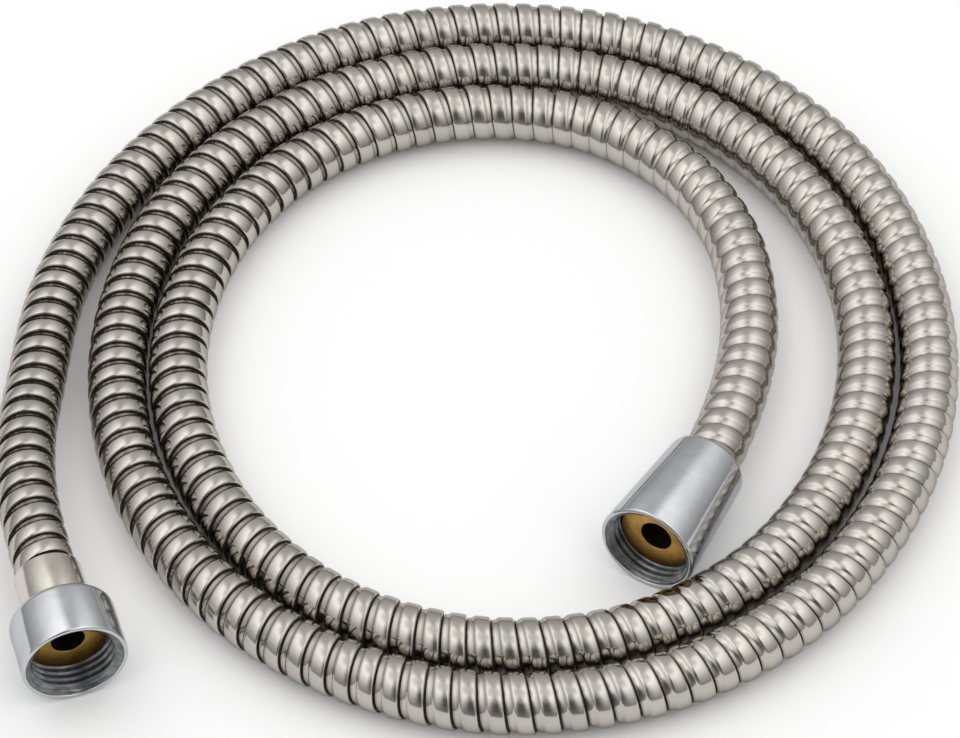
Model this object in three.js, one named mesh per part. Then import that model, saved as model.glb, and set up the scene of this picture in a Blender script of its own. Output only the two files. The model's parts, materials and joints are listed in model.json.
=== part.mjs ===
// Flexible shower hose, lying on a floor in a flat spiral of nearly three turns.
//
// Millimetres, +Z up, the floor at z = 0 and the origin under the middle of the spiral.
// The short round nut, which screws onto the mixer, is at the front left. The cone nut, which
// takes the handset, is inside the spiral. Both nuts turn freely on brass tails.

import * as THREE from 'three';

// Hose
const hoseDiameter = 14;       // over the steel bands
const bandWall = 0.8;          // depth of the interlocked strip
const linerPlay = 0.5;         // room between the strip and the liner, on each side
const linerWall = 1.5;
const hoseSides = 12;
const hoseSteps = 80;

// Fits
const seatGap = 0.3;           // between pieces that touch
const runningGap = 0.3;        // between a nut and what it turns on

// Brass tails
const flangeThickness = 2.2;
const flangeEdge = 0.3;
const shankWall = 0.6;
const inletRadius = 3.6;       // mouth of the water way
const inletDepth = 1.5;
const barbDepth = 0.35;
const barbPitch = 3;
const barbCount = 3;

// Crimped ferrules
const ferruleWall = 0.4;
const ferruleLength = 11.7;
const ferruleLip = 1.5;        // turned-in front end
const ferruleShoulder = 1.1;   // how far the lip stands over the nut's hole

// Nuts, with a half-inch pipe thread
const threadRadius = 10.48;    // bottom of the thread
const boreRadius = 9.32;       // crest of the thread
const leadIn = 0.8;            // chamfer at the mouth
const nutEdge = 0.4;
const backRound = 1.5;
const mixerNutWall = 1.52;     // outside the thread
const mixerMouthDepth = 6.9;   // from the mouth to the tail's face
const mixerWeb = 4.8;          // the nut's back, which pulls on the flange
const handsetNutWall = 1.12;
const handsetMouthDepth = 4.8;
const handsetWeb = 3;
const coneSleeve = 20.2;       // from the web to the cone's narrow end
const coneBackWall = 1.6;
const coneLip = 2;             // length over which the narrow end closes in on the hose
const coneLipPlay = 0.5;       // between that end and the hose

const turnedSides = 40;

// Where the hose runs: its centre line, from inside the mixer's ferrule to inside the handset's.
// The first two points and the last two lie on the axes of the nuts, which lie on the floor.
const mixerRun = [
  [-94.7, -85.8, 12], [-100.1, -69.3, 12], [-104.5, -51.9, 11.4], [-106.3, -34, 10], [-105.8, -16.6, 8.4],
];
const handsetRun = [[61.5, -12.5, 7.9], [52, -41.5, 9.6], [42.8, -57.9, 10.8]];

// Between them it lies flat. Its distance from the origin every 20 degrees, clockwise from above
// and 18 to a turn, from 10 degrees past the left. Neighbouring turns lie side by side.
const spiralStart = 190;
const spiralStep = 20;
const spiralRadii = [
  104, 103, 104, 106.5, 108.5, 110, 109.5, 108, 106.5, 106.5, 107.5, 109.5, 110, 108, 103, 97.5, 92, 88,
  86.5, 87.5, 89.5, 91.5, 93.5, 94.5, 94, 93, 92, 91.5, 92.5, 94.5, 95, 93, 88.5, 82.5, 77, 73.5,
  72, 72.5, 74.5, 76.5, 78, 78, 75, 70, 65,
];

const chrome = new THREE.MeshStandardMaterial({ color: 0xd9dadd, roughness: 0.12, metalness: 1 });
const steel = new THREE.MeshStandardMaterial({ color: 0xb9b2a8, roughness: 0.25, metalness: 1 });
const nickel = new THREE.MeshStandardMaterial({ color: 0xc9c2b2, roughness: 0.3, metalness: 1 });
const brass = new THREE.MeshStandardMaterial({ color: 0x9c7a3c, roughness: 0.4, metalness: 1 });
const rubber = new THREE.MeshStandardMaterial({ color: 0x1d1d1f, roughness: 0.8, metalness: 0 });

// Radii, from the hose outwards and inwards
const hoseRadius = hoseDiameter / 2;
const hoseBore = hoseRadius - bandWall;
const linerRadius = hoseBore - linerPlay;
const linerBore = linerRadius - linerWall;
const flatOf = Math.cos(Math.PI / hoseSides);      // a side's distance, for a corner at 1
const barbRadius = linerBore * flatOf - seatGap;
const shankRadius = barbRadius - barbDepth;
const waterRadius = shankRadius - shankWall;
const ferruleBore = hoseRadius + seatGap;
const ferruleRadius = ferruleBore + ferruleWall;
const neckRadius = ferruleRadius - ferruleShoulder - runningGap;
const webHole = neckRadius + runningGap;
const lipHole = shankRadius + seatGap;
const flangeRadius = boreRadius - runningGap;
const mixerNutRadius = threadRadius + mixerNutWall;
const coneMouthRadius = threadRadius + handsetNutWall;
const coneBore = ferruleRadius + runningGap;
const coneBackRadius = coneBore + coneBackWall;
const coneLipHole = hoseRadius + coneLipPlay;

// Places along a fitting's axis. 0 is the cut end of the hose, and + runs into the hose.
const ferruleFront = -seatGap - ferruleLip;
const ferruleBack = ferruleFront + ferruleLength;
const webBack = ferruleFront - runningGap;

// A closed outline of [radius, height] points, turned about Z.
function turned(outline) {
  const points = outline.map(([radius, height]) => new THREE.Vector2(radius, height));
  points.push(points[0].clone());
  const geometry = new THREE.LatheGeometry(points, turnedSides);
  geometry.rotateX(Math.PI / 2);
  return geometry;
}

// A quarter round from the side at z - size to the end at z.
function backCorner(radius, z, size) {
  const corner = [];
  for (let i = 0; i <= 4; i += 1) {
    const angle = (i / 4) * (Math.PI / 2);
    corner.push([radius - size + size * Math.cos(angle), z - size + size * Math.sin(angle)]);
  }
  return corner;
}

function tube(path, outer, inner) {
  const ring = (radius) => Array.from({ length: hoseSides }, (_, i) => {
    const angle = ((i + 0.5) / hoseSides) * Math.PI * 2;
    return new THREE.Vector2(radius * Math.cos(angle), radius * Math.sin(angle));
  });
  const section = new THREE.Shape(ring(outer));
  section.holes.push(new THREE.Path(ring(inner)));
  return new THREE.ExtrudeGeometry(section, { steps: hoseSteps, extrudePath: path });
}

function tail(web) {
  const flangeBack = webBack - web - runningGap;
  const flangeFront = flangeBack - flangeThickness;
  const outline = [
    [inletRadius, flangeFront],
    [flangeRadius - flangeEdge, flangeFront],
    [flangeRadius, flangeFront + flangeEdge],
    [flangeRadius, flangeBack],
    [neckRadius, flangeBack],
    [neckRadius, webBack],
    [shankRadius, webBack],
  ];
  // Each barb rises towards the nut, so that the liner pushes on and can't pull off.
  for (let i = barbCount - 1; i >= 0; i -= 1) {
    const tip = ferruleBack - seatGap - (i + 1) * barbPitch;
    outline.push([shankRadius, tip], [barbRadius, tip]);
    outline.push([shankRadius, tip + barbPitch * 0.8]);
  }
  outline.push([shankRadius, ferruleBack - seatGap]);
  outline.push([waterRadius, ferruleBack - seatGap]);
  outline.push([waterRadius, flangeFront + inletDepth]);
  return turned(outline);
}

function ferrule() {
  return turned([
    [lipHole, ferruleFront],
    [ferruleRadius - nutEdge, ferruleFront],
    [ferruleRadius, ferruleFront + nutEdge],
    [ferruleRadius, ferruleBack],
    [ferruleBore, ferruleBack],
    [ferruleBore, ferruleFront + ferruleLip],
    [lipHole, ferruleFront + ferruleLip],
  ]);
}

function mixerNut() {
  const webFront = webBack - mixerWeb;
  const mouth = webFront - runningGap - flangeThickness - mixerMouthDepth;
  return turned([
    [boreRadius + leadIn, mouth],
    [mixerNutRadius - nutEdge, mouth],
    [mixerNutRadius, mouth + nutEdge],
    ...backCorner(mixerNutRadius, webBack, backRound),
    [webHole, webBack],
    [webHole, webFront],
    [boreRadius, webFront],
    [boreRadius, mouth + leadIn],
  ]);
}

function handsetNut() {
  const webFront = webBack - handsetWeb;
  const mouth = webFront - runningGap - flangeThickness - handsetMouthDepth;
  const back = webBack + coneSleeve;
  return turned([
    [boreRadius + leadIn, mouth],
    [coneMouthRadius - nutEdge, mouth],
    [coneMouthRadius, mouth + nutEdge],
    ...backCorner(coneBackRadius, back, Math.min(backRound, coneBackWall * 0.9)),
    [coneLipHole, back],
    [coneLipHole, back - coneLip],
    [coneBore, back - coneLip],
    [coneBore, webBack],
    [webHole, webBack],
    [webHole, webFront],
    [boreRadius, webFront],
    [boreRadius, mouth + leadIn],
  ]);
}

const spiral = spiralRadii.map((radius, i) => {
  const angle = THREE.MathUtils.degToRad(spiralStart + i * spiralStep);
  return [radius * Math.cos(angle), -radius * Math.sin(angle), hoseRadius];
});
const route = [...mixerRun, ...spiral, ...handsetRun].map((point) => new THREE.Vector3(...point));
const hosePath = new THREE.CatmullRomCurve3(route, false, 'centripetal');
hosePath.arcLengthDivisions = 4000;

const group = new THREE.Group();

function add(parent, name, geometry, material) {
  const mesh = new THREE.Mesh(geometry, material);
  mesh.name = name;
  parent.add(mesh);
}

// A group whose Z axis runs from the nut's mouth into the hose, from the hose's cut end.
function fittingAt(end, inside) {
  const fitting = new THREE.Group();
  const into = inside.clone().sub(end).normalize();
  fitting.quaternion.setFromUnitVectors(new THREE.Vector3(0, 0, 1), into);
  fitting.position.copy(end);
  group.add(fitting);
  return fitting;
}

add(group, 'steel_hose', tube(hosePath, hoseRadius, hoseBore), steel);
add(group, 'inner_hose', tube(hosePath, linerRadius, linerBore), rubber);

const mixerEnd = fittingAt(route[0], route[1]);
add(mixerEnd, 'mixer_nut', mixerNut(), chrome);
add(mixerEnd, 'mixer_tail', tail(mixerWeb), brass);
add(mixerEnd, 'mixer_ferrule', ferrule(), nickel);

const handsetEnd = fittingAt(route[route.length - 1], route[route.length - 2]);
add(handsetEnd, 'handset_nut', handsetNut(), chrome);
add(handsetEnd, 'handset_tail', tail(handsetWeb), brass);
add(handsetEnd, 'handset_ferrule', ferrule(), nickel);

export default group;
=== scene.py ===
# Looks of a metal shower hose, lying on the floor in a flat spiral.
import json
import math

import bmesh
import bpy
import numpy as np
from mathutils import Matrix, Vector


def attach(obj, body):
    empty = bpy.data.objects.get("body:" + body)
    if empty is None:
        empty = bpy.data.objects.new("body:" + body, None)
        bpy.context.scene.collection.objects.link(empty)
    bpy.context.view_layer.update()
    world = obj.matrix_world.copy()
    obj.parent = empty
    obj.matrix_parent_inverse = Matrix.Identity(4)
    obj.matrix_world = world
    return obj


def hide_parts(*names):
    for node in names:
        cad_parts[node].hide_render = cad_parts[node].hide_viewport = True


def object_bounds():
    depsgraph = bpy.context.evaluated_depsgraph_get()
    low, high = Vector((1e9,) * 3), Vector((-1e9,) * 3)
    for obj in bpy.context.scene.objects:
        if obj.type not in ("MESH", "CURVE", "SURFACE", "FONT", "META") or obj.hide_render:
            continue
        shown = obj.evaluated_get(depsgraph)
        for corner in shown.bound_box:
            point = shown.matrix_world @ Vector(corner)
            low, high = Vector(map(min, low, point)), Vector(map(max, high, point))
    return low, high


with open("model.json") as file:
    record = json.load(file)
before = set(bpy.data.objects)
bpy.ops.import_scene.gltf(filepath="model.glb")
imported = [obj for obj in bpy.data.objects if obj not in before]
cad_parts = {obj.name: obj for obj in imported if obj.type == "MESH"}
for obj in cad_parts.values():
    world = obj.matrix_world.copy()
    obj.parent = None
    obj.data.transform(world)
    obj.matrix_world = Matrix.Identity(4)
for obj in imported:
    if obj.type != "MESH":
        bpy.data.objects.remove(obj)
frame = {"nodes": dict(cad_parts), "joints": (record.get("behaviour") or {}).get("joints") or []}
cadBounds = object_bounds()
mm = 0.001

# Camera, looking along +Y and down
shot = {
    "aim": (-0.81, -3.42, 0.0),      # mm
    "distance": 863.5,               # mm
    "elevation": 48.04,              # degrees above the floor
    "focalLength": 3594.0,           # in pixels of the photograph
    "photoWidth": 960.0,
    "sensorWidth": 36.0,
}


def makeCamera():
    data = bpy.data.cameras.new("camera")
    data.sensor_width = shot["sensorWidth"]
    data.lens = shot["focalLength"] * shot["sensorWidth"] / shot["photoWidth"]
    data.clip_start = 0.01
    data.clip_end = 50
    camera = bpy.data.objects.new("camera", data)
    bpy.context.scene.collection.objects.link(camera)
    tilt = math.radians(shot["elevation"])
    back = Vector((0, -math.cos(tilt), math.sin(tilt)))
    camera.location = Vector(shot["aim"]) * mm + back * shot["distance"] * mm
    camera.rotation_mode = "QUATERNION"
    camera.rotation_quaternion = (-back).to_track_quat("-Z", "Y")
    bpy.context.scene.camera = camera


makeCamera()
bpy.context.scene.view_settings.view_transform = "Standard"
print("camera placed")

# The hose's centre line in mm, as the model has it, from the mixer's end to the handset's.
# Between the two runs it lies flat: its distance from the origin every 20 degrees, clockwise.
route = {
    "mixerRun": [(-94.7, -85.8, 12), (-100.1, -69.3, 12), (-104.5, -51.9, 11.4), (-106.3, -34, 10),
                 (-105.8, -16.6, 8.4)],
    "handsetRun": [(61.5, -12.5, 7.9), (52, -41.5, 9.6), (42.8, -57.9, 10.8)],
    "spiralStart": 190,
    "spiralStep": 20,
    "spiralHeight": 7,
    "spiralRadii": [104, 103, 104, 106.5, 108.5, 110, 109.5, 108, 106.5, 106.5, 107.5, 109.5, 110, 108, 103,
                    97.5, 92, 88, 86.5, 87.5, 89.5, 91.5, 93.5, 94.5, 94, 93, 92, 91.5, 92.5, 94.5, 95, 93,
                    88.5, 82.5, 77, 73.5, 72, 72.5, 74.5, 76.5, 78, 78, 75, 70, 65],
    "samplesPerSpan": 64,
}


def routePoints():
    spiral = []
    for i, radius in enumerate(route["spiralRadii"]):
        angle = math.radians(route["spiralStart"] + i * route["spiralStep"])
        spiral.append((radius * math.cos(angle), -radius * math.sin(angle), route["spiralHeight"]))
    return np.array(route["mixerRun"] + spiral + route["handsetRun"]) * mm


def smoothLine(points, samples):
    # a centripetal Catmull-Rom curve through the points
    ends = np.vstack([2 * points[0] - points[1], points, 2 * points[-1] - points[-2]])
    t = np.linspace(0, 1, samples, endpoint=False)[:, None]
    line = []
    for before, start, end, after in zip(ends, ends[1:], ends[2:], ends[3:]):
        a, b, c = (math.sqrt(np.linalg.norm(d)) for d in (start - before, end - start, after - end))
        leave = ((start - before) / a - (end - before) / (a + b) + (end - start) / b) * b
        arrive = ((end - start) / b - (after - start) / (b + c) + (after - end) / c) * b
        bend = 3 * (end - start) - 2 * leave - arrive
        close = 2 * (start - end) + leave + arrive
        line.append(start + leave * t + bend * t ** 2 + close * t ** 3)
    return np.vstack(line + [points[-1:]])


class CentreLine:
    # Places, directions and bends along the line, by distance from its start

    def __init__(self, points, softening=0.012):
        steps = np.linalg.norm(np.diff(points, axis=0), axis=1)
        self.at = np.concatenate([[0], np.cumsum(steps)])
        self.length = self.at[-1]
        even = np.linspace(0, self.length, len(points))
        self.points = np.stack([np.interp(even, self.at, points[:, i]) for i in range(3)], 1)
        self.at = even
        along = np.gradient(self.points, even, axis=0)
        self.along = along / np.linalg.norm(along, axis=1)[:, None]
        bend = np.gradient(self.along, even, axis=0)
        width = max(1, round(softening / (even[1] - even[0])))
        window = np.ones(width) / width
        self.bend = np.stack([np.convolve(bend[:, i], window, "same") for i in range(3)], 1)

    def read(self, table, at):
        return np.stack([np.interp(at, self.at, table[:, i]) for i in range(3)], 1)

    def wrap(self, shape, keepWidth=None):
        # bends a straight shape that stands along +Z onto the line
        x, y, z = shape.T
        along = self.read(self.along, z)
        along /= np.linalg.norm(along, axis=1)[:, None]
        up = np.array([0, 0, 1.0]) - along * along[:, 2:3]
        up /= np.linalg.norm(up, axis=1)[:, None]
        out = x[:, None] * up + y[:, None] * np.cross(along, up)
        shift = 0
        if keepWidth is not None:
            # a stiff band doesn't stretch round the bend: what lies between the bands does
            stretch = 1 - np.sum(out * self.read(self.bend, z - keepWidth), axis=1)
            shift = keepWidth * (1 / stretch - 1)
        place = z + shift
        beyond = place - np.clip(place, 0, self.length)
        return self.read(self.points, place) + along * beyond[:, None] + out


hoseLine = CentreLine(smoothLine(routePoints(), route["samplesPerSpan"]))
print("centre line", round(hoseLine.length, 4), "m")


# Shared mesh work
def everything(bm):
    return list(bm.verts) + list(bm.edges) + list(bm.faces)


def drawOutline(bm, points):
    # an open outline of (radius, height) in mm, in the XZ plane
    verts = [bm.verts.new((radius * mm, 0, height * mm)) for radius, height in points]
    return verts + [bm.edges.new(pair) for pair in zip(verts, verts[1:])]


def arc(radius, height, size, first, last, steps=5):
    # points round a corner: its centre, its radius and its angles in degrees
    angles = [math.radians(first + (last - first) * i / steps) for i in range(steps + 1)]
    return [(radius + size * math.cos(a), height + size * math.sin(a)) for a in angles]


def turn(bm, points, sides):
    bmesh.ops.spin(bm, geom=drawOutline(bm, points), cent=(0, 0, 0), axis=(0, 0, 1), angle=2 * math.pi,
                   steps=sides, use_merge=True)


def meetsPlane(edge, height):
    return edge.is_boundary and all(abs(v.co.z - height) < 0.001 * mm for v in edge.verts)


def bridgeAt(bm, height):
    bmesh.ops.bridge_loops(bm, edges=[e for e in bm.edges if meetsPlane(e, height)])


def cutAt(bm, height, direction):
    bmesh.ops.bisect_plane(bm, geom=everything(bm), plane_co=(0, 0, height), plane_no=(0, 0, direction),
                           clear_outer=True)


def newPiece(name, mesh, body, node, materials, sharpAngle=32):
    mesh.name = name
    for material in materials:
        mesh.materials.append(material)
    mesh.shade_smooth()
    mesh.set_sharp_from_angle(angle=math.radians(sharpAngle))
    piece = bpy.data.objects.new(name, mesh)
    bpy.context.scene.collection.objects.link(piece)
    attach(piece, body)
    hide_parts(node)
    return piece


def meshFrom(bm, name):
    bmesh.ops.recalc_face_normals(bm, faces=list(bm.faces))
    mesh = bpy.data.meshes.new(name)
    bm.to_mesh(mesh)
    bm.free()
    return mesh


def readVerts(mesh):
    places = np.zeros(len(mesh.vertices) * 3, np.float32)
    mesh.vertices.foreach_get("co", places)
    return places.reshape(-1, 3).astype(float)


def writeVerts(mesh, places):
    mesh.vertices.foreach_set("co", places.astype(np.float32).ravel())
    mesh.update()


# Node work
class NodeKit:
    # adds nodes to a tree and joins them up

    def __init__(self, tree):
        self.tree = tree

    def add(self, kind, values=None, **settings):
        node = self.tree.nodes.new(kind)
        for name, value in settings.items():
            setattr(node, name, value)
        for key, value in (values or {}).items():
            if isinstance(value, bpy.types.NodeSocket):
                self.tree.links.new(value, node.inputs[key])
            else:
                node.inputs[key].default_value = value
        return node

    def math(self, operation, first, second=0.0, clamp=False):
        node = self.add("ShaderNodeMath", {0: first, 1: second}, operation=operation, use_clamp=clamp)
        return node.outputs[0]

    def plus(self, first, second, amount):
        return self.math("ADD", first, self.math("MULTIPLY", second, amount))

    def spread(self, value, low, high, toLow=0.0, toHigh=1.0, smooth=True):
        kind = "SMOOTHSTEP" if smooth else "LINEAR"
        values = {"Value": value, "From Min": low, "From Max": high, "To Min": toLow, "To Max": toHigh}
        return self.add("ShaderNodeMapRange", values, interpolation_type=kind).outputs[0]

    def mixColour(self, factor, first, second, blend="MIX"):
        values = {0: factor, 6: first, 7: second}
        return self.add("ShaderNodeMix", values, data_type="RGBA", blend_type=blend).outputs[2]

    def noise(self, vector, scale, detail=2.0, roughness=0.5, distortion=0.0):
        values = {"Vector": vector, "Scale": scale, "Detail": detail, "Roughness": roughness,
                  "Distortion": distortion}
        return self.add("ShaderNodeTexNoise", values).outputs["Fac"]

    def scaled(self, vector, x, y, z=1.0):
        return self.add("ShaderNodeMapping", {"Vector": vector, "Scale": (x, y, z)}).outputs[0]

    def bump(self, height, distance, strength=1.0):
        values = {"Height": height, "Distance": distance, "Strength": strength}
        return self.add("ShaderNodeBump", values).outputs[0]


def newGroup(name, inputs, outputs):
    tree = bpy.data.node_groups.new(name, "ShaderNodeTree")
    for label, kind, value in inputs:
        socket = tree.interface.new_socket(name=label, in_out="INPUT", socket_type=kind)
        if value is not None:
            socket.default_value = value
    for label, kind in outputs:
        tree.interface.new_socket(name=label, in_out="OUTPUT", socket_type=kind)
    kit = NodeKit(tree)
    return kit, kit.add("NodeGroupInput").outputs, kit.add("NodeGroupOutput").inputs


def handledGroup():
    # the soft clouds and short scuffs that handling leaves on polished metal
    kit, given, out = newGroup(
        "handled metal",
        [("Vector", "NodeSocketVector", None), ("Cloud Scale", "NodeSocketFloat", 0.1),
         ("Scuff Scale", "NodeSocketFloat", 1.2)],
        [("Clouds", "NodeSocketFloat"), ("Scuffs", "NodeSocketFloat")])
    links = kit.tree.links
    clouds = kit.noise(given["Vector"], given["Cloud Scale"], detail=3.0, roughness=0.55, distortion=0.4)
    stretched = kit.scaled(given["Vector"], 1.0, 0.35, 2.4)
    fine = kit.noise(stretched, given["Scuff Scale"], detail=5.0, roughness=0.7, distortion=0.8)
    links.new(kit.spread(clouds, 0.3, 0.7), out["Clouds"])
    links.new(kit.spread(fine, 0.56, 0.72), out["Scuffs"])
    return kit.tree


def linesGroup():
    # fine lines left by a tool, close together across the first axis and long down the second
    kit, given, out = newGroup(
        "tool lines",
        [("Vector", "NodeSocketVector", None), ("Across", "NodeSocketFloat", 6.0),
         ("Along", "NodeSocketFloat", 0.1)],
        [("Lines", "NodeSocketFloat")])
    parts = kit.add("ShaderNodeSeparateXYZ", {0: given["Vector"]}).outputs
    across = kit.math("MULTIPLY", parts[0], given["Across"])
    along = kit.math("MULTIPLY", parts[1], given["Along"])
    vector = kit.add("ShaderNodeCombineXYZ", {0: across, 1: along, 2: parts[2]}).outputs[0]
    kit.tree.links.new(kit.noise(vector, 1.0, detail=4.0, roughness=0.65), out["Lines"])
    return kit.tree


handledMetal = handledGroup()
toolLines = linesGroup()


def handledAt(kit, vector, cloudScale, scuffScale):
    values = {"Vector": vector, "Cloud Scale": cloudScale, "Scuff Scale": scuffScale}
    return kit.add("ShaderNodeGroup", values, node_tree=handledMetal).outputs


def linesAt(kit, vector, across, along):
    values = {"Vector": vector, "Across": across, "Along": along}
    return kit.add("ShaderNodeGroup", values, node_tree=toolLines).outputs["Lines"]


def shaded(colour, factor):
    return tuple(c * factor for c in colour[:3]) + (1,)


def newMaterial(name, metallic=1.0):
    material = bpy.data.materials.new(name)
    material.use_nodes = True
    kit = NodeKit(material.node_tree)
    shader = material.node_tree.nodes["Principled BSDF"]
    shader.inputs["Metallic"].default_value = metallic
    return material, kit, shader.inputs


def join(kit, inputs, name, socket):
    kit.tree.links.new(socket, inputs[name])


# The steel strip that makes the hose
hoseSteel = {
    "colour": (0.50, 0.468, 0.428, 1),
    "waistShadeColour": (0.20, 0.18, 0.155, 1),    # painted shade in the waist's recess under the next crown
    "waistShadeShare": 0.7,
    "roughness": 0.10,
    "streakRoughness": 0.08,
    "scuffRoughness": 0.10,
    "edgeTint": (0.62, 0.60, 0.57, 1),        # duller where it is seen along the surface
    "dentSize": 4.0,                          # mm
    "dentDepth": 0.00004,                     # m
    # painted shade: near black on the gap's walls, where shade falls between the bands
    "gapShadeColour": (0.034, 0.030, 0.027, 1),
}
strip = {
    "pitch": 5.56,               # mm from band to band
    "sides": 28,
    # its outline: along the hose and from the hose's middle, in mm. The crown comes first, then the
    # waist, and then the dark gap under the next crown's back edge.
    "outline": [(0, 5.75), (0.02, 6.55), (0.14, 6.82), (0.5, 6.96), (1.8, 7.0), (3.0, 6.97), (3.45, 6.87),
                (3.75, 6.64), (4.12, 6.37), (5.18, 6.24), (5.22, 5.75), (5.56, 5.75)],
    "crownMiddle": 1.85,         # round a bend the crown keeps its width, and the rest gives
    "waist": (4.13, 5.2),
    "waistGives": 0.6,           # share of it that the waist gives, the gap giving the rest
    "gapRadius": 6.3,            # below this the gap's walls lie in shade, and are painted dark
    "innerRadius": 5.45,         # the wall towards the liner
    "innerSides": 16,
    "innerStep": 5.35,
    "around": 44.0,              # mm once round the hose
}


def hoseSteelMaterial():
    material, kit, inputs = newMaterial("hose steel")
    values = hoseSteel
    inputs["Specular Tint"].default_value = values["edgeTint"]
    uv = kit.add("ShaderNodeUVMap", uv_map="stripPlace").outputs[0]     # turns along, share across
    onStrip = kit.scaled(uv, strip["around"], strip["pitch"])           # in mm
    parts = kit.add("ShaderNodeSeparateXYZ", {0: uv}).outputs
    along, across = kit.add("ShaderNodeSeparateXYZ", {0: onStrip}).outputs[:2]
    swapped = kit.add("ShaderNodeCombineXYZ", {0: across, 1: along}).outputs[0]
    lines = linesAt(kit, swapped, 5.0, 0.12)
    place = kit.add("ShaderNodeTexCoord").outputs["Object"]
    placeMm = kit.scaled(place, 1000, 1000, 1000)
    handled = handledAt(kit, placeMm, 0.09, 0.8)
    shade = kit.spread(parts[1], 0.83, 0.92)                            # painted shade on the waist, darker towards the gap
    tone = kit.spread(kit.noise(kit.scaled(uv, 0.9, 0.0, 0.0), 1.0, detail=3.0), 0.3, 0.7, 0.90, 1.06)
    mask = kit.math("MULTIPLY", shade, values["waistShadeShare"])
    base = kit.mixColour(mask, values["colour"], values["waistShadeColour"])
    toned = kit.add("ShaderNodeVectorMath", {0: base, 1: tone}, operation="MULTIPLY").outputs[0]
    join(kit, inputs, "Base Color", toned)
    rough = kit.plus(values["roughness"], lines, values["streakRoughness"])
    rough = kit.plus(rough, handled["Scuffs"], values["scuffRoughness"])
    join(kit, inputs, "Roughness", rough)
    dents = kit.noise(onStrip, 1 / values["dentSize"], detail=2.0)
    join(kit, inputs, "Normal", kit.bump(kit.plus(dents, lines, 0.06), values["dentDepth"]))
    return material


def hoseGapShadeMaterial():
    # painted shade: a near-black, dusty metal for the gap's walls
    material, kit, inputs = newMaterial("hose gap shade", metallic=0.4)
    inputs["Roughness"].default_value = 0.6
    place = kit.add("ShaderNodeTexCoord").outputs["Object"]
    dust = kit.spread(kit.noise(place, 900.0, detail=3.0), 0.45, 0.7)
    colour = hoseSteel["gapShadeColour"]
    join(kit, inputs, "Base Color", kit.mixColour(dust, colour, shaded(colour, 2.2)))
    return material


def straightTube(bm, radius, length, sides, step, angle=0.0):
    circle = bmesh.ops.create_circle(bm, cap_ends=False, radius=radius * mm, segments=sides)["verts"]
    edges = list({e for v in circle for e in v.link_edges})
    steps = math.ceil(length / (step * mm))
    bmesh.ops.spin(bm, geom=circle + edges, cent=(0, 0, 0), axis=(0, 0, 1), dvec=(0, 0, length / steps),
                   angle=angle, steps=steps)


def oneTurn():
    # one turn of the strip, wound up round Z, with its place on the strip as UV
    bm = bmesh.new()
    pitch, sides = strip["pitch"], strip["sides"]
    drawn = drawOutline(bm, [(radius, along - pitch) for along, radius in strip["outline"]])
    bmesh.ops.spin(bm, geom=drawn, cent=(0, 0, 0), axis=(0, 0, 1), dvec=(0, 0, pitch / sides * mm),
                   angle=2 * math.pi, steps=sides, use_merge=False)
    uvLayer = bm.loops.layers.uv.new("stripPlace")
    for face in bm.faces:
        middle = face.calc_center_median()
        faceTurn = math.atan2(middle.y, middle.x) / (2 * math.pi) % 1
        for loop in face.loops:
            place = loop.vert.co
            turns = math.atan2(place.y, place.x) / (2 * math.pi) % 1
            turns += round(faceTurn - turns)
            across = place.z / mm / pitch + 1 - turns
            loop[uvLayer].uv = (turns / 2, across)
        reach = [loop[uvLayer].uv.y * pitch for loop in face.loops]
        atGap = max(reach) < 0.05 or min(reach) > strip["waist"][1] - 0.05
        # the gap's walls take the painted-shade material
        face.material_index = int(middle.xy.length < strip["gapRadius"] * mm and atGap)
    mesh = bpy.data.meshes.new("oneTurn")
    bm.to_mesh(mesh)
    bm.free()
    return mesh


def repeatUp(mesh, count, pitch):
    # copies end to end, joined where they meet
    carrier = bpy.data.objects.new("carrier", mesh)
    bpy.context.scene.collection.objects.link(carrier)
    repeat = carrier.modifiers.new("turns", "ARRAY")
    repeat.count = count
    repeat.use_relative_offset = False
    repeat.use_constant_offset = True
    repeat.constant_offset_displace = (0, 0, pitch)
    repeat.use_merge_vertices = True
    repeat.merge_threshold = 0.002 * mm
    repeat.offset_u = 0.5
    ready = carrier.evaluated_get(bpy.context.evaluated_depsgraph_get())
    repeated = bpy.data.meshes.new_from_object(ready)
    bpy.data.objects.remove(carrier)
    return repeated


def makeHose():
    pitch = strip["pitch"] * mm
    wound = repeatUp(oneTurn(), math.ceil(hoseLine.length / pitch) + 1, pitch)
    bm = bmesh.new()
    bm.from_mesh(wound)
    cutAt(bm, 0, -1)
    cutAt(bm, hoseLine.length, 1)
    straightTube(bm, strip["innerRadius"], hoseLine.length, strip["innerSides"], strip["innerStep"])
    bridgeAt(bm, 0)
    bridgeAt(bm, hoseLine.length)
    mesh = meshFrom(bm, "hose")
    shape = readVerts(mesh)
    turns = np.arctan2(shape[:, 1], shape[:, 0]) / (2 * math.pi) % 1
    along = (shape[:, 2] / pitch - turns + 0.001) % 1 - 0.001
    given = strip["waistGives"] * np.interp(along * strip["pitch"], strip["waist"], (0, 1))
    fromBand = (along - given) * pitch - strip["crownMiddle"] * mm
    fromBand[np.hypot(shape[:, 0], shape[:, 1]) < (strip["innerRadius"] + 0.1) * mm] = 0
    writeVerts(mesh, hoseLine.wrap(shape, fromBand))
    hose = newPiece("wovenHose", mesh, "hose", "steel_hose",
                    [hoseSteelMaterial(), hoseGapShadeMaterial()], sharpAngle=50)
    return hose


hose = makeHose()
print("hose made", len(hose.data.polygons), "faces")

# The liner inside it
liner = {
    "radius": 5.2,
    "bore": 4.2,
    "sides": 14,
    "step": 5.0,
    "colour": (0.022, 0.022, 0.024, 1),
}


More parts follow.
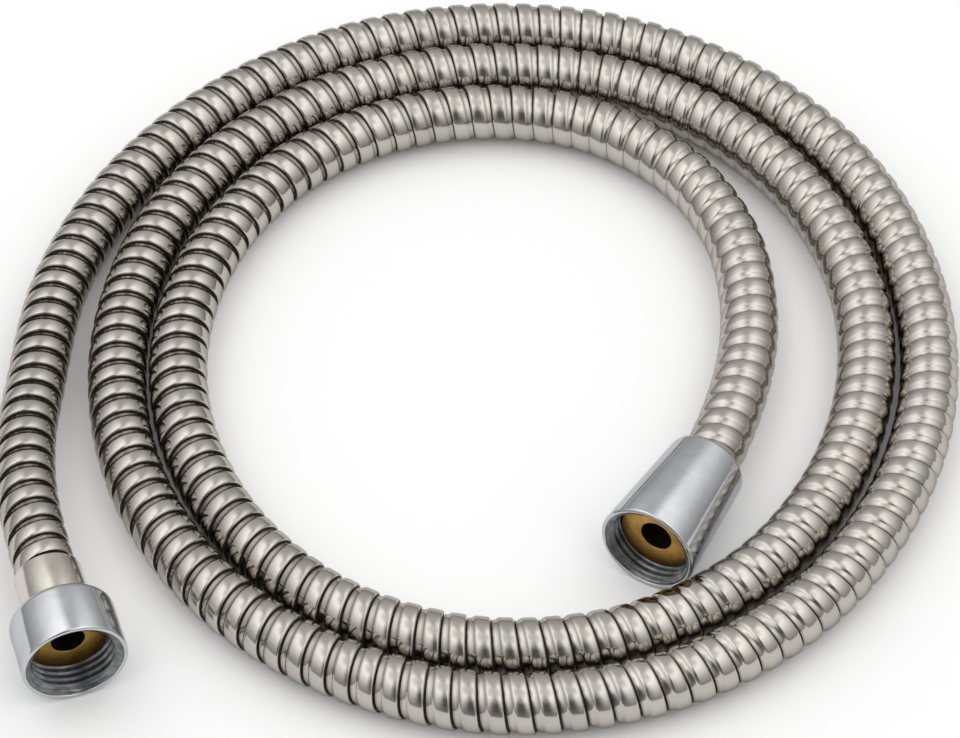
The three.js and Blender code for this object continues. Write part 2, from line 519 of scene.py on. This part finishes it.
def rubberMaterial():
    material, kit, inputs = newMaterial("liner rubber", metallic=0.0)
    place = kit.add("ShaderNodeTexCoord").outputs["Object"]
    bloom = kit.noise(place, 350.0, detail=4.0)
    colour = liner["colour"]
    mask = kit.spread(bloom, 0.4, 0.7)
    join(kit, inputs, "Base Color", kit.mixColour(mask, colour, shaded(colour, 1.8)))
    join(kit, inputs, "Roughness", kit.spread(bloom, 0.2, 0.8, 0.55, 0.75))
    return material


def makeLiner():
    bm = bmesh.new()
    for radius in (liner["radius"], liner["bore"]):
        straightTube(bm, radius, hoseLine.length, liner["sides"], liner["step"])
    bridgeAt(bm, 0)
    bridgeAt(bm, hoseLine.length)
    mesh = meshFrom(bm, "liner")
    writeVerts(mesh, hoseLine.wrap(readVerts(mesh)))
    return newPiece("innerTube", mesh, "hose", "inner_hose", [rubberMaterial()])


makeLiner()
print("liner made")


# Fittings. Each is made upright: 0 is the tail's face, and + runs into the hose.
def fittingFrame(jointName):
    joint = next(j for j in frame["joints"] if j["name"] == jointName)
    into = -Vector(joint["axis"]).normalized()
    return Matrix.Translation(Vector(joint["pos_m"])) @ into.to_track_quat("Z", "Y").to_matrix().to_4x4()


def ringsOf(node, fitting):
    # (height, radius) of each ring of the turned CAD node, in mm
    local = fitting.inverted()
    rings = set()
    for vert in frame["nodes"][node].data.vertices:
        place = local @ vert.co
        rings.add((round(place.z / mm, 2), round(place.xy.length / mm, 2)))
    return sorted(rings)


def same(first, second):
    return abs(first - second) < 0.01        # mm


turned = {
    "sides": 96,
    "edge": 0.35,                # small rounding of an edge
    "lipEdge": 0.55,             # and round a nut's mouth
    "backRound": 2.1,            # at the back of the mixer's nut
    "coneRound": 1.4,
}
pipeThread = {
    "pitch": 1.814,              # half-inch pipe thread
    "crest": 9.32,
    "root": 10.48,
    "stepsPerTurn": 8,
    "lipWidth": 1.05,            # of metal round the mouth, outside the lead-in
    "leadIn": 1.8,               # its slope
}
chrome = {
    "colour": (0.57, 0.58, 0.60, 1),
    "roughness": 0.11,
    "scuffRoughness": 0.06,
    "cloudRoughness": 0.03,
    "edgeTint": (0.72, 0.73, 0.75, 1),
    "boreShadeColour": (0.15, 0.152, 0.158, 1),    # painted shade inside the threaded bore, which is also left unpolished
    "waveSize": 7.0,
    "waveDepth": 0.00006,
}


def placeAttribute(mesh):
    # where each point lies on the upright fitting, in mm, for patterns that follow the turning
    places = readVerts(mesh) / mm
    layer = mesh.attributes.new("turnedPlace", "FLOAT_VECTOR", "POINT")
    layer.data.foreach_set("vector", places.astype(np.float32).ravel())


def turnedPiece(bm, name, body, node, materials, fitting, sharpAngle=32):
    mesh = meshFrom(bm, name)
    placeAttribute(mesh)
    mesh.transform(fitting)
    return newPiece(name, mesh, body, node, materials, sharpAngle)


def turnedPlace(kit):
    return kit.add("ShaderNodeAttribute", attribute_name="turnedPlace").outputs["Vector"]


def chromeMaterial():
    material, kit, inputs = newMaterial("nut chrome")
    inputs["Specular Tint"].default_value = chrome["edgeTint"]
    place = turnedPlace(kit)
    handled = handledAt(kit, place, 0.16, 0.9)
    colour = chrome["colour"]
    join(kit, inputs, "Base Color", kit.mixColour(handled["Clouds"], colour, shaded(colour, 0.9)))
    rough = kit.plus(chrome["roughness"], handled["Scuffs"], chrome["scuffRoughness"])
    rough = kit.plus(rough, handled["Clouds"], chrome["cloudRoughness"])
    join(kit, inputs, "Roughness", rough)
    waves = kit.noise(place, 1 / chrome["waveSize"], detail=2.0)
    join(kit, inputs, "Normal", kit.bump(waves, chrome["waveDepth"]))
    return material


def nutBoreShadeMaterial():
    # painted shade: the bore is coloured dark, and its metal is rougher and unpolished
    material, kit, inputs = newMaterial("nut bore shade")
    place = turnedPlace(kit)
    handled = handledAt(kit, place, 0.5, 2.0)
    colour = chrome["boreShadeColour"]
    join(kit, inputs, "Base Color", kit.mixColour(handled["Clouds"], colour, shaded(colour, 1.7)))
    join(kit, inputs, "Roughness", kit.spread(handled["Scuffs"], 0.0, 1.0, 0.28, 0.45))
    return material


def woundThread(bm, mouth, webFront, mouthRadius):
    # the threaded bore, from the mouth to the web
    thread = pipeThread
    pitch, steps = thread["pitch"], thread["stepsPerTurn"]
    count = math.ceil((webFront - mouth) / pitch * steps) + 2 * steps
    outline = []
    for i in range(count + 1):
        share = 0.5 - 0.5 * math.cos(2 * math.pi * i / steps)
        radius = thread["crest"] + (thread["root"] - thread["crest"]) * share
        outline.append((radius, mouth - pitch * 1.01 + i * pitch / steps))
    drawn = drawOutline(bm, outline)
    bmesh.ops.spin(bm, geom=drawn, cent=(0, 0, 0), axis=(0, 0, 1), dvec=(0, 0, pitch / turned["sides"] * mm),
                   angle=2 * math.pi, steps=turned["sides"], use_merge=False)
    # what would pass the mouth or the web is gathered on their edges
    for vert in bm.verts:
        height = min(max(vert.co.z / mm, mouth), webFront)
        radius = max(vert.co.xy.length / mm, mouthRadius - thread["leadIn"] * (height - mouth))
        if height == mouth:
            radius = mouthRadius
        if height > webFront - 0.4:
            radius = thread["root"]
        vert.co.xy = vert.co.xy.normalized() * radius * mm
        vert.co.z = height * mm


def makeNut(name, node, body, fitting, materials):
    bm = bmesh.new()
    rings = ringsOf(node, fitting)
    mouth, back = rings[0][0], rings[-1][0]
    widest = max(radius for height, radius in rings)
    hole = min(radius for height, radius in rings)
    webHeights = [height for height, radius in rings if radius == hole]
    webFront, webBack = webHeights[0], webHeights[-1]
    edge, lipEdge = turned["edge"], turned["lipEdge"]
    mouthRadius = widest - pipeThread["lipWidth"]
    woundThread(bm, mouth + edge, webFront, mouthRadius)
    # the thread's faces take the painted-shade bore material
    for face in bm.faces:
        face.material_index = 1
    lip = arc(mouthRadius + edge, mouth + edge, edge, 180, 270, 4)
    lip += arc(widest - lipEdge, mouth + lipEdge, lipEdge, -90, 0)
    if back > webBack + 1:
        # a cone: the narrow end closes in on the hose
        backOuter = max(radius for height, radius in rings if height > back - 2)
        lipHole = min(radius for height, radius in rings if height > back - 0.1)
        sleeveEnd = max(height for height, radius in rings if height < back - 1.7 and radius < widest - 1)
        bore = next(radius for height, radius in rings if same(height, webBack) and radius > hole)
        rounding = turned["coneRound"]
        inside = arc(lipHole + edge, back - edge, edge, 90, 180, 3)
        inside += [(lipHole, sleeveEnd), (bore, sleeveEnd), (bore, webBack), (hole, webBack)]
    else:
        backOuter = widest
        rounding = turned["backRound"]
        inside = arc(hole + edge, back - edge, edge, 90, 180, 3)
    backCorner = arc(backOuter - rounding, back - rounding, rounding, 0, 90, 8)
    web = [(hole, webFront), (pipeThread["root"], webFront)]
    turn(bm, lip + backCorner + inside + web, turned["sides"])
    bmesh.ops.remove_doubles(bm, verts=list(bm.verts), dist=0.004 * mm)
    return turnedPiece(bm, name, body, node, materials, fitting)


mixerFitting = fittingFrame("mixer_nut_spin")
handsetFitting = fittingFrame("handset_nut_spin")
nutMaterials = [chromeMaterial(), nutBoreShadeMaterial()]
makeNut("mixerNutShell", "mixer_nut", "mixer_nut", mixerFitting, nutMaterials)
handsetNut = makeNut("handsetNutShell", "handset_nut", "handset_nut", handsetFitting, nutMaterials)
print("nuts made")

# Brass tails
tailBrass = {
    "colour": (0.56, 0.335, 0.085, 1),
    "tarnish": (0.20, 0.105, 0.028, 1),
    "tarnishShare": 0.55,
    "roughness": 0.33,
    "cloudRoughness": 0.12,
    "lineDepth": 0.000012,
    "lineSpacing": 5.0,          # lines in a mm
    "mouthWear": 0.2,            # mm more at the water way's mouth
    "mouthDepth": 4.5,
    # painted shade: near black inside the mouth and the water way
    "waterwayShadeColour": (0.014, 0.011, 0.008, 1),
}


def brassMaterial():
    material, kit, inputs = newMaterial("tail brass")
    place = turnedPlace(kit)
    parts = kit.add("ShaderNodeSeparateXYZ", {0: place}).outputs
    flat = kit.add("ShaderNodeCombineXYZ", {0: parts[0], 1: parts[1]}).outputs[0]
    radius = kit.add("ShaderNodeVectorMath", {0: flat}, operation="LENGTH").outputs["Value"]
    lathe = kit.add("ShaderNodeCombineXYZ", {0: radius, 1: 0.0, 2: parts[2]}).outputs[0]
    lines = linesAt(kit, lathe, tailBrass["lineSpacing"], 0.0)
    handled = handledAt(kit, place, 0.35, 1.5)
    mask = kit.math("MULTIPLY", handled["Clouds"], kit.spread(lines, 0.35, 0.65, 0.4, 1.0))
    mask = kit.math("MULTIPLY", mask, tailBrass["tarnishShare"])
    join(kit, inputs, "Base Color", kit.mixColour(mask, tailBrass["colour"], tailBrass["tarnish"]))
    rough = kit.plus(tailBrass["roughness"], handled["Clouds"], tailBrass["cloudRoughness"])
    join(kit, inputs, "Roughness", rough)
    join(kit, inputs, "Normal", kit.bump(lines, tailBrass["lineDepth"]))
    return material


def waterwayShadeMaterial():
    # painted shade: a near-black lining for the tail's bore, with random scale on it
    material, kit, inputs = newMaterial("tail waterway shade", metallic=0.3)
    place = kit.add("ShaderNodeTexCoord").outputs["Object"]
    scale = kit.noise(place, 700.0, detail=3.0)
    colour = tailBrass["waterwayShadeColour"]
    mask = kit.spread(scale, 0.45, 0.7)
    join(kit, inputs, "Base Color", kit.mixColour(mask, colour, shaded(colour, 2.5)))
    join(kit, inputs, "Roughness", kit.spread(scale, 0.3, 0.7, 0.4, 0.65))
    return material


def makeTail(name, node, fitting, materials):
    bm = bmesh.new()
    rings = ringsOf(node, fitting)
    outside = [(radius, height) for height, radius in rings]
    front = rings[0][0]
    flange = max(radius for radius, height in outside)
    flangeBack = max(height for radius, height in outside if radius == flange)
    inlet = min(radius for radius, height in outside if same(height, front)) + tailBrass["mouthWear"]
    inletEnd = front + tailBrass["mouthDepth"]
    water = min(radius for radius, height in outside)
    neck = min(radius for radius, height in outside if same(height, flangeBack))
    neckBack = max(height for radius, height in outside if same(radius, neck))
    end = rings[-1][0]
    shank = max(radius for radius, height in outside if same(height, end))
    barb = max(radius for radius, height in outside if height > neckBack + 0.5 and radius < neck - 1)
    tips = sorted(height for radius, height in outside if same(radius, barb))
    edge = turned["edge"]
    points = arc(flange - edge, front + edge, edge, -90, 0)
    points += arc(flange - edge, flangeBack - edge, edge, 0, 90)
    points += [(neck, flangeBack)] + arc(neck - edge, neckBack - edge, edge, 0, 90, 3) + [(shank, neckBack)]
    pitch = tips[1] - tips[0]
    for tip in tips:
        points += [(shank, tip), (barb, tip), (shank, tip + pitch * 0.8)]
    points += [(shank, end), (water, end), (water, inletEnd), (inlet, inletEnd)]
    points += [(inlet, front + 0.1), (inlet + 0.1, front)]
    turn(bm, points + points[:1], turned["sides"])
    bmesh.ops.remove_doubles(bm, verts=list(bm.verts), dist=0.002 * mm)
    # faces in the mouth and the water way take the painted-shade material
    for face in bm.faces:
        middle = face.calc_center_median() / mm
        radius = middle.xy.length
        inMouth = radius < inlet + 0.01 and middle.z < inletEnd + 0.01
        face.material_index = int(inMouth or radius < water + 0.01)
    return turnedPiece(bm, name, "hose", node, materials, fitting)


tailMaterials = [brassMaterial(), waterwayShadeMaterial()]
makeTail("mixerTailBrass", "mixer_tail", mixerFitting, tailMaterials)
handsetTail = makeTail("handsetTailBrass", "handset_tail", handsetFitting, tailMaterials)
print("tails made")

# Ferrules
ferrule = {
    "colour": (0.62, 0.59, 0.535, 1),
    "warmColour": (0.46, 0.41, 0.34, 1),
    "warmShare": 0.45,
    "roughness": 0.11,
    "lineRoughness": 0.08,
    "frontRound": 0.8,           # mm
    "waveDepth": 0.00005,
}


def nickelMaterial():
    material, kit, inputs = newMaterial("ferrule nickel")
    place = turnedPlace(kit)
    parts = kit.add("ShaderNodeSeparateXYZ", {0: place}).outputs
    handled = handledAt(kit, place, 0.2, 1.0)
    rub = kit.add("ShaderNodeCombineXYZ", {0: parts[2], 1: parts[0]}).outputs[0]
    lines = linesAt(kit, rub, 3.0, 0.1)
    mask = kit.math("MULTIPLY", handled["Clouds"], ferrule["warmShare"])
    join(kit, inputs, "Base Color", kit.mixColour(mask, ferrule["colour"], ferrule["warmColour"]))
    join(kit, inputs, "Roughness", kit.plus(ferrule["roughness"], lines, ferrule["lineRoughness"]))
    waves = kit.plus(kit.noise(place, 0.12, detail=1.0), lines, 0.02)
    join(kit, inputs, "Normal", kit.bump(waves, ferrule["waveDepth"]))
    return material


def makeFerrule(name, node, fitting, material):
    bm = bmesh.new()
    rings = ringsOf(node, fitting)
    front, back = rings[0][0], rings[-1][0]
    outer = max(radius for height, radius in rings)
    hole = min(radius for height, radius in rings)
    bore = min(radius for height, radius in rings if same(height, back))
    lipBack = max(height for height, radius in rings if radius == hole)
    wall = outer - bore
    rounding = ferrule["frontRound"]
    points = arc(outer - rounding, front + rounding, rounding, -90, 0, 6)
    points += arc(outer - wall / 2, back - wall / 2, wall / 2, 0, 180, 6)
    points += [(bore, lipBack), (hole, lipBack), (hole, front)]
    turn(bm, points + points[:1], turned["sides"])
    bmesh.ops.remove_doubles(bm, verts=list(bm.verts), dist=0.002 * mm)
    return turnedPiece(bm, name, "hose", node, [material], fitting)


nickel = nickelMaterial()
makeFerrule("mixerCrimpSleeve", "mixer_ferrule", mixerFitting, nickel)
handsetFerrule = makeFerrule("handsetCrimpSleeve", "handset_ferrule", handsetFitting, nickel)
print("ferrules made")

# The back of the mixer's ferrule, where the hose leaves it; the hose ends in the cone nut
ferruleBack = ringsOf("mixer_ferrule", mixerFitting)[-1][0]

# Studio: a white floor under a tent of soft light
studio = {
    "tentRadius": 3.0,           # m
    "floorColour": (0.96, 0.96, 0.96, 1),
    "floorGlow": 0.03,           # what lifts the floor to white
    "tentStrength": 1.57,
    # brightness of the tent by height, 0 to 1: at its sides, its back and behind the camera
    "heights": [0.0, 0.09, 0.42, 0.71, 0.9, 1.0],
    "sides": [0.24, 0.26, 0.46, 0.80, 1.15, 0.62],
    "back": [0.32, 0.32, 0.38, 0.46, 0.50, 0.62],
    "front": [0.22, 0.17, 0.08, 0.08, 0.38, 0.62],
}


def ramp(kit, factor, positions, levels):
    node = kit.add("ShaderNodeValToRGB", {0: factor})
    elements = node.color_ramp.elements
    while len(elements) < len(positions):
        elements.new(1.0)
    for element, position, level in zip(elements, positions, levels):
        element.position = position
        element.color = (level, level, level, 1)
    return node.outputs[0]


def tentMaterial():
    material = bpy.data.materials.new("tent light")
    material.use_nodes = True
    material.node_tree.nodes.clear()
    kit = NodeKit(material.node_tree)
    place = kit.add("ShaderNodeTexCoord").outputs["Object"]
    direction = kit.add("ShaderNodeVectorMath", {0: place}, operation="NORMALIZE").outputs[0]
    x, y, z = kit.add("ShaderNodeSeparateXYZ", {0: direction}).outputs
    level = kit.add("ShaderNodeVectorMath", {0: kit.add("ShaderNodeCombineXYZ", {0: x, 1: y}).outputs[0]},
                    operation="LENGTH").outputs["Value"]
    sideways = kit.math("DIVIDE", kit.math("ABSOLUTE", x), kit.math("MAXIMUM", level, 0.001))
    forward = kit.math("DIVIDE", y, kit.math("MAXIMUM", level, 0.001))
    columns = {name: ramp(kit, z, studio["heights"], studio[name]) for name in ("sides", "back", "front")}
    ends = kit.mixColour(kit.spread(forward, -0.3, 0.3), columns["front"], columns["back"])
    colour = kit.mixColour(kit.spread(sideways, 0.1, 0.6), ends, columns["sides"])
    glow = kit.add("ShaderNodeEmission", {"Color": colour, "Strength": studio["tentStrength"]})
    out = kit.add("ShaderNodeOutputMaterial")
    kit.tree.links.new(glow.outputs[0], out.inputs["Surface"])
    return material


def floorMaterial():
    material = bpy.data.materials.new("floor white")
    material.use_nodes = True
    kit = NodeKit(material.node_tree)
    shader = material.node_tree.nodes["Principled BSDF"].inputs
    shader["Base Color"].default_value = studio["floorColour"]
    shader["Roughness"].default_value = 0.9
    shader["Specular IOR Level"].default_value = 0.0
    shader["Emission Color"].default_value = (1, 1, 1, 1)
    path = kit.add("ShaderNodeLightPath").outputs
    seen = kit.math("MAXIMUM", path["Is Camera Ray"], path["Is Glossy Ray"])
    seen = kit.math("MAXIMUM", seen, path["Is Transmission Ray"])
    join(kit, shader, "Emission Strength", kit.math("MULTIPLY", seen, studio["floorGlow"]))
    return material


def stagePiece(name, bm, material):
    mesh = meshFrom(bm, name)
    mesh.materials.append(material)
    piece = bpy.data.objects.new(name, mesh)
    bpy.context.scene.collection.objects.link(piece)
    return piece


def makeStudio():
    bm = bmesh.new()
    bmesh.ops.create_circle(bm, cap_ends=True, radius=studio["tentRadius"], segments=96)
    bmesh.ops.translate(bm, verts=list(bm.verts), vec=(0, 0, cadBounds[0].z - 0.02 * mm))
    stagePiece("floor", bm, floorMaterial())
    bm = bmesh.new()
    bmesh.ops.create_uvsphere(bm, u_segments=64, v_segments=32, radius=studio["tentRadius"])
    cutAt(bm, 0, -1)
    tent = stagePiece("tent", bm, tentMaterial())
    tent.data.shade_smooth()
    tent.visible_camera = False
    world = bpy.data.worlds.new("white")
    world.use_nodes = True
    world.node_tree.nodes["Background"].inputs["Color"].default_value = (1, 1, 1, 1)
    world.node_tree.nodes["Background"].inputs["Strength"].default_value = 1.0
    bpy.context.scene.world = world


makeStudio()
print("studio made")
